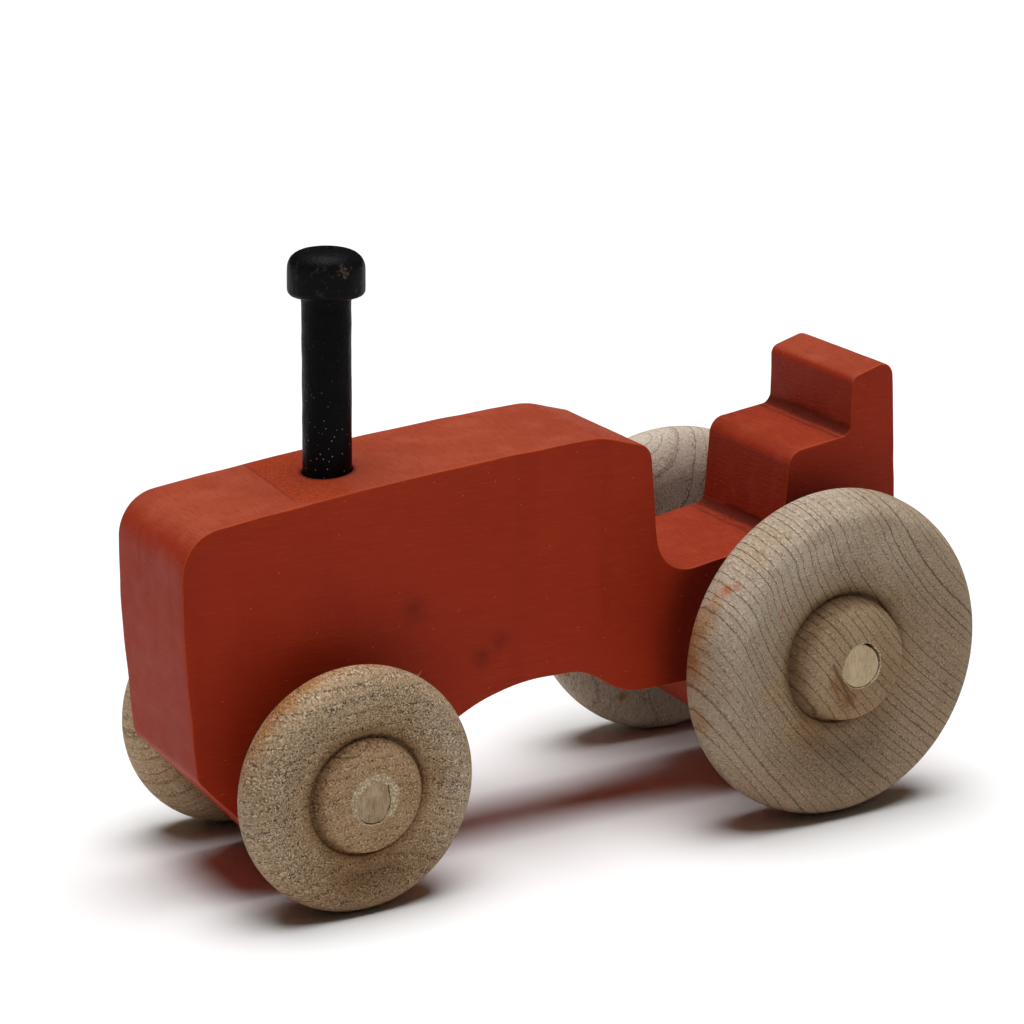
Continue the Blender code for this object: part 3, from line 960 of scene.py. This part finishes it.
def wheel(name, node, body, sizes):
    box = node_box(node)
    side = 1 if box.centre.y > 0 else -1
    faces = sorted((abs(box.low.y), abs(box.high.y)))
    profile = wheel_profile(sizes, box.size.z / 2, faces[1], faces[0])

    def place(radius, angle, height):
        return around_axle(box.centre, radius, angle, side * height)

    solid, rows = turned(profile, WHEEL_SIDES, place)
    skin(solid, [rows[-1], rows[0]])
    crown = (box.centre.x, side * sizes.crown, box.centre.z)
    marks = (STAINS.get(node, ()), SCRATCHES.get(node, ()))
    material = maple(name + "_maple", crown, CUTS[node], sizes.boss_foot, *marks)
    return piece(name, solid, body, node, material)


DOWEL_SIDES = 72
DOWEL_RINGS = 7
DOWEL_CHAMFER = 0.00012
DOWEL_SHOULDER = 0.0006
WORN_DEPTH = 0.004               # how far in from its end a dowel is worn
WORN_WAVES = (((3, 200, 3), 0.00008),)
END_WAVES = (((6, 1, 6), 0.00008),)


def dowel(name, node, body, material, outlines):
    """An axle dowel. outlines gives the radius of its left and right end by angle."""
    box = node_box(node)
    half = box.size.y / 2
    levels = [(half - DOWEL_CHAMFER, k / DOWEL_RINGS) for k in range(1, DOWEL_RINGS + 1)]
    levels += [(half - DOWEL_SHOULDER, 1.0), (half - WORN_DEPTH, 1.0), (0, 1.0)]
    levels += [(-height, share) for height, share in reversed(levels[:-1])]
    solid = bmesh.new()
    rows = []
    for height, share in levels:
        outline = outlines[0] if height > 0 else outlines[1]
        end = 0 if share == 1 else 1 if height > 0 else -1
        wear = max(0.0, 1 - (half - abs(height)) / WORN_DEPTH)
        row = []
        for k in range(DOWEL_SIDES):
            angle = 2 * pi * k / DOWEL_SIDES
            radius = AXLE_RADIUS + (around(outline, angle) - AXLE_RADIUS) * wear
            radius += ripple(cos(angle), height, sin(angle), WORN_WAVES) * wear
            radius = min(radius, AXLE_RADIUS) * share
            rough = ripple(cos(angle) * share, half, sin(angle) * share, END_WAVES)
            spot = around_axle(box.centre, radius, angle, height - rough * end)
            row.append(solid.verts.new(spot))
        rows.append(row)
    capped_skin(solid, rows)
    return piece(name, solid, body, node, material)


# Wood colours as linear RGB: light, mid, dark fleck and growth line
REAR_WOOD = ((0.41, 0.322, 0.224), (0.34, 0.254, 0.172), (0.19, 0.128, 0.08), (0.066, 0.039, 0.021))
FRONT_WOOD = (
    (0.42, 0.296, 0.178), (0.33, 0.222, 0.123), (0.16, 0.094, 0.046), (0.065, 0.036, 0.017),
)
GREY_WOOD = ((0.5, 0.42, 0.33), (0.41, 0.33, 0.25), (0.23, 0.17, 0.125), (0.085, 0.058, 0.042))

ORANGE_STAIN = (0.97, 0.64, 0.38)
YELLOW_STAIN = (1.0, 0.86, 0.62)
RUST_STAIN = (0.9, 0.61, 0.38)
RED_STAIN = (1.0, 0.3, 0.17)
BROWN_STAIN = (0.72, 0.52, 0.34)

SMOOTH = Fuzz(0.46, 0.15, 0.014, 0.026, (0.8, 0.0, 0.6))
TORN = Fuzz(0.8, 0.5, 0.012, 0.02, (0.75, 0.0, 0.65))

# Painted light and shade on each wheel: paler where light falls on it, and on the left wheels darker
# low down.
REAR_LEFT_SHADES = (
    Shade((0.6, 0.0, 0.8), 0.014, -0.008, (0.83, 0.755, 0.69)),
    Shade((0.6, 0.0, 0.8), 0.018, 0.031, (1.26, 1.33, 1.45)),
)
FRONT_LEFT_SHADES = (
    Shade((0.1, 0.0, 1.0), -0.006, -0.018, (0.8, 0.73, 0.66)),
    Shade((-1.0, 0.0, 0.1), 0.009, 0.018, (1.05, 1.1, 1.18)),
)
REAR_RIGHT_SHADES = (Shade((0.0, 0.0, 1.0), 0.014, 0.028, (1.22, 1.25, 1.32)),)
FRONT_RIGHT_SHADES = (Shade((1.0, 0.0, 0.0), 0.002, 0.014, (1.2, 1.18, 1.15)),)

CUTS = {
    "rear_wheel_left": Cut(
        (-0.1026, -0.018, 0.0948), (0.059, -0.986, 0.154), 0.0017, 0.0012, 0.8,
        *REAR_WOOD, SMOOTH, REAR_LEFT_SHADES, 1.3,
    ),
    "rear_wheel_right": Cut(
        (0.009, 0.0, 0.032), (0.25, 0.35, 0.9), 0.0029, 0.003, 0.45,
        *GREY_WOOD, SMOOTH, REAR_RIGHT_SHADES, 2.9,
    ),
    "front_wheel_left": Cut(
        (-0.002, 0.0, -0.052), (0.03, 1.0, 0.1), 0.0022, 0.0022, 0.3,
        *FRONT_WOOD, TORN, FRONT_LEFT_SHADES, 5.1,
    ),
    "front_wheel_right": Cut(
        (0.075, 0.0, 0.07), (0.2, 1.0, -0.25), 0.0024, 0.004, 0.45,
        *FRONT_WOOD, SMOOTH, FRONT_RIGHT_SHADES, 7.7,
    ),
}
STAINS = {
    "rear_wheel_left": (
        ((0.0308, 0.0000, 0.011), 0.006, RUST_STAIN, 0.75),
        ((0.0314, -0.0005, 0.006), 0.0062, RUST_STAIN, 0.95),
        ((0.0316, -0.0005, 0.001), 0.006, RUST_STAIN, 0.8),
        ((0.0305, 0.001, -0.0084), 0.004, RUST_STAIN, 0.65),
        ((0.0225, 0.0035, 0.0244), 0.0058, YELLOW_STAIN, 0.35),
        ((0.0175, 0.0035, 0.0275), 0.007, YELLOW_STAIN, 0.3),
        ((0.0268, 0.0032, 0.0172), 0.002, RED_STAIN, 0.85),
        ((0.0252, 0.0045, 0.0178), 0.0016, RED_STAIN, 0.45),
        ((0.0285, 0.0018, 0.015), 0.003, ORANGE_STAIN, 0.65),
        ((0.0154, 0.006, 0.0122), 0.0012, RED_STAIN, 0.45),
        ((0.0155, 0.006, 0.011), 0.0009, RED_STAIN, 0.55),
        ((0.01, 0.005, -0.0118), 0.0052, YELLOW_STAIN, 0.65),
        ((0.006, 0.005, -0.0158), 0.0052, YELLOW_STAIN, 0.6),
        ((0.016, 0.005, -0.004), 0.0045, YELLOW_STAIN, 0.45),
        ((0.0052, 0.01, -0.003), 0.0034, BROWN_STAIN, 0.85),
        ((0.003, 0.01, -0.006), 0.0034, BROWN_STAIN, 0.85),
    ),
    "rear_wheel_right": (((0.0149, 0.006, -0.0214), 0.0018, BROWN_STAIN, 1.0),),
    "front_wheel_left": (
        ((-0.003, -0.0016, 0.0222), 0.004, ORANGE_STAIN, 0.45),
        ((0.0035, -0.0016, 0.0222), 0.0042, ORANGE_STAIN, 0.65),
        ((0.009, -0.0014, 0.0206), 0.0044, ORANGE_STAIN, 0.85),
        ((0.0135, -0.0012, 0.0178), 0.0046, ORANGE_STAIN, 0.9),
        ((0.0172, -0.0012, 0.0142), 0.0044, ORANGE_STAIN, 0.8),
        ((0.0197, -0.0012, 0.0103), 0.0042, ORANGE_STAIN, 0.6),
        ((0.0213, -0.0012, 0.006), 0.004, ORANGE_STAIN, 0.4),
        ((0.004, 0.003, -0.0145), 0.0075, BROWN_STAIN, 0.45),
        ((-0.003, 0.003, -0.015), 0.006, BROWN_STAIN, 0.35),
        ((-0.0136, 0.003, 0.0019), 0.005, BROWN_STAIN, 0.35),
    ),
}
# Scratches and cracks on a wheel's outer face: from and to (x, z), width and strength
SCRATCHES = {
    "rear_wheel_left": (
        ((0.0066, 0.0012), (0.0022, -0.0066), 0.0005, 0.8),
        ((0.0052, -0.0012), (0.0012, -0.008), 0.00045, 0.7),
        ((0.0078, -0.0005), (0.0046, -0.0062), 0.0003, 0.6),
    ),
    "front_wheel_left": (
        ((0.0068, 0.0082), (0.003, 0.0086), 0.00016, 0.85),
        ((0.003, 0.0086), (0.0002, 0.0102), 0.00012, 0.6),
    ),
}


# How an axle's left end sits in its bore, by angle from the front of the toy in degrees, in mm:
# worn is the dowel's radius, open the width of the crack around it, spill how far the glue
# spread. rise is how high the glue stands, in metres.
Seat = namedtuple("Seat", "worn open spill rise")
FRONT_SEAT = Seat(
    worn=(
        (0, 3.5), (38, 2.95), (68, 2.9), (97, 3.15), (119, 3.0), (140, 3.45), (155, 3.0),
        (169, 2.85), (185, 2.95), (200, 3.2), (224, 3.45), (243, 4.15), (281, 4.2), (310, 4.1),
        (335, 3.7),
    ),
    open=(
        (0, 0), (40, 0.05), (60, 0.12), (130, 0.1), (150, 0.22), (215, 0.22), (232, 0.05),
        (242, 0.1), (250, 0.3), (290, 0.25), (300, 0),
    ),
    spill=((0, 0.1), (60, 0.2), (100, 0.25), (150, 0.5), (200, 0.25), (280, 0.2), (330, 0.1)),
    rise=0.00005,
)
REAR_SEAT = Seat(
    worn=((0, 4.2), (90, 4.2), (115, 3.8), (160, 3.8), (185, 4.1), (270, 4.2)),
    open=(
        (0, 0.1), (10, 0.22), (42, 0.26), (55, 0.1), (92, 0.1), (104, 0.6), (172, 0.6),
        (182, 0.28), (206, 0.26), (214, 0.1), (233, 0.1), (238, 0.5), (252, 0.5), (258, 0.1),
        (300, 0.2), (320, 0.1),
    ),
    spill=((0, 0.05), (90, 0.05), (215, 0.3), (250, 0.05)),
    rise=0.00003,
)
SNUG = Seat(((0, 4.2),), ((0, 0),), ((0, 0.05),), 0.00002)


def around(table, angle):
    """The value at an angle, between a table's (degrees, mm) pairs, in metres."""
    degrees_now = (angle * 180 / pi) % 360
    pairs = [*table, (table[0][0] + 360, table[0][1])]
    for (low, at_low), (high, at_high) in zip(pairs, pairs[1:]):
        if low <= degrees_now <= high:
            return MM * (at_low + (at_high - at_low) * (degrees_now - low) / (high - low))
    return MM * at_low


GLUE_STEPS = 180
GLUE_FOOT = -0.003              # the ring's hidden foot, from the hub's face
GLUE_LEAST = 0.00003
CRACK_LEAST = 0.00004
GLUE_RIM = 0.00002
RAGGED_WAVES = (((5, 5, 9000), 1.0),)
FINE_WAVES = (((13, 13, 9000), 1.0),)


def glue_ring(name, axle_node, wheel_node, body, seat, material):
    """Squeezed out glue around a dowel's end, open where it never filled the gap."""
    axle = node_box(axle_node)
    box = node_box(wheel_node)
    side = 1 if box.centre.y > 0 else -1
    face = max(abs(box.low.y), abs(box.high.y))
    bore = AXLE_RADIUS + BORE_PLAY
    solid = bmesh.new()
    sections = []
    for k in range(GLUE_STEPS):
        angle = 2 * pi * k / GLUE_STEPS
        ragged = ripple(cos(angle), sin(angle), seat.rise, RAGGED_WAVES)
        fine = ripple(cos(angle), sin(angle), seat.rise, FINE_WAVES)
        crack = max(around(seat.open, angle) * (1 + 0.8 * fine), CRACK_LEAST)
        inner = min(around(seat.worn, angle) + crack, bore - GLUE_LEAST)
        spill = around(seat.spill, angle) * (1 + 1.2 * ragged + 0.5 * fine)
        outer = bore + max(spill, GLUE_LEAST)
        rise = seat.rise * (1 + 1.2 * ragged + 0.6 * fine)
        section = (
            (inner, GLUE_FOOT), (inner, rise * 0.6), ((inner + bore) / 2, rise),
            (bore - GLUE_RIM, rise), ((bore + outer) / 2, rise * 0.8),
            (outer, -GLUE_LEAST), (bore, GLUE_FOOT),
        )
        sections.append([
            solid.verts.new(around_axle(axle.centre, radius, angle, side * (face + height)))
            for radius, height in section
        ])
    rows = list(zip(*sections))
    skin(solid, rows + rows[:1])
    return piece(name, solid, body, None, material)


FIBRE_RADIUS = 0.00007
FIBRE_TAPER = 0.75
FIBRE_BEND = 0.00022
FIBRE_STEPS = 6
FIBRE_SIDES = 6
# Torn fibres on the left front wheel: root and tip, (x, y, z), from its centre on the middle plane
FIBRES = (
    ((-0.0088, 0.029, 0.0203), (-0.0098, 0.0296, 0.0216)),
    ((-0.008, 0.0292, 0.0205), (-0.0086, 0.03, 0.0214)),
    ((-0.0092, 0.0284, -0.0014), (-0.0106, 0.03, -0.0012)),
    ((-0.0068, 0.0286, -0.0066), (-0.0078, 0.0302, -0.0078)),
    ((-0.0072, 0.0286, -0.006), (-0.0087, 0.0298, -0.0064)),
)


def fibres(name, wheel_node, body, material):
    """Hair-thin splinters standing off a wheel."""
    box = node_box(wheel_node)
    centre = Vector((box.centre.x, 0, box.centre.z))
    angles = [2 * pi * k / FIBRE_SIDES for k in range(FIBRE_SIDES)]
    solid = bmesh.new()
    for root, tip in FIBRES:
        root, tip = Vector(root), Vector(tip)
        run = tip - root
        across = run.cross(Vector((0, 1, 0))).normalized()
        beside = run.cross(across).normalized()
        rows = []
        for step in range(FIBRE_STEPS + 1):
            share = step / FIBRE_STEPS
            middle = centre + root + run * share + across * FIBRE_BEND * sin(pi * share)
            thick = FIBRE_RADIUS * (1 - FIBRE_TAPER * share)
            ring = [across * cos(a) * thick + beside * sin(a) * thick for a in angles]
            rows.append([solid.verts.new(middle + corner) for corner in ring])
        capped_skin(solid, rows)
    return piece(name, solid, body, None, material)


def wheelset(end, sizes, seat, wood):
    body = end + "_wheelset"
    axle = end + "_axle"
    paint = dowel_wood(end + "_dowel_wood", node_box(axle).centre, *wood)
    dowel(end + "_dowel", axle, body, paint, (seat.worn, SNUG.worn))
    hardened = glue(end + "_glue", GLUE_PALE, GLUE_DARK)
    for side, sitting in (("left", seat), ("right", SNUG)):
        node = f"{end}_wheel_{side}"
        wheel(f"{end}_{side}_wheel", node, body, sizes)
        glue_ring(f"{end}_{side}_glue", axle, node, body, sitting, hardened)


# ------------ floor and light

FLOOR_COLOUR = (0.93, 0.93, 0.93, 1)
HALF_FLOOR, FLOOR_PARTS = 4.0, 4
WORLD_STRENGTH = 0.01
OVERHEAD_STRENGTH = 3.75
OVERHEAD_SPREAD = radians(50)
TO_OVERHEAD = Vector((0.0, 0.0, 1.0))


def studio():
    """A pale floor under one very soft overhead light and a faint even glow."""
    solid = bmesh.new()
    bmesh.ops.create_grid(solid, x_segments=FLOOR_PARTS, y_segments=FLOOR_PARTS, size=HALF_FLOOR)
    floor = placed("floor", solid)
    material = bpy.data.materials.new("floor_paper")
    material.use_nodes = True
    shader = material.node_tree.nodes["Principled BSDF"]
    shader.inputs["Base Color"].default_value = FLOOR_COLOUR
    shader.inputs["Roughness"].default_value = 1.0
    shader.inputs["Specular IOR Level"].default_value = 0.0
    floor.data.materials.append(material)

    world = bpy.data.worlds.new("studio")
    world.use_nodes = True
    background = world.node_tree.nodes["Background"]
    background.inputs["Color"].default_value = (1, 1, 1, 1)
    background.inputs["Strength"].default_value = WORLD_STRENGTH
    bpy.context.scene.world = world

    data = bpy.data.lights.new("overhead", "SUN")
    data.energy = OVERHEAD_STRENGTH
    data.angle = OVERHEAD_SPREAD
    lamp = bpy.data.objects.new("overhead", data)
    lamp.rotation_euler = TO_OVERHEAD.to_track_quat("Z", "Y").to_euler()
    bpy.context.scene.collection.objects.link(lamp)
    bpy.context.scene.view_settings.view_transform = "Standard"


# ------------ all together

make_camera()
board()
smokestack()
wheelset("front", FRONT_WHEEL, FRONT_SEAT, BROWN_DOWEL)
wheelset("rear", REAR_WHEEL, REAR_SEAT, PALE_DOWEL)
splinters = glue("splinters", SPLINTER, SPLINTER)
fibres("front_left_splinters", "front_wheel_left", "front_wheelset", splinters)
studio()
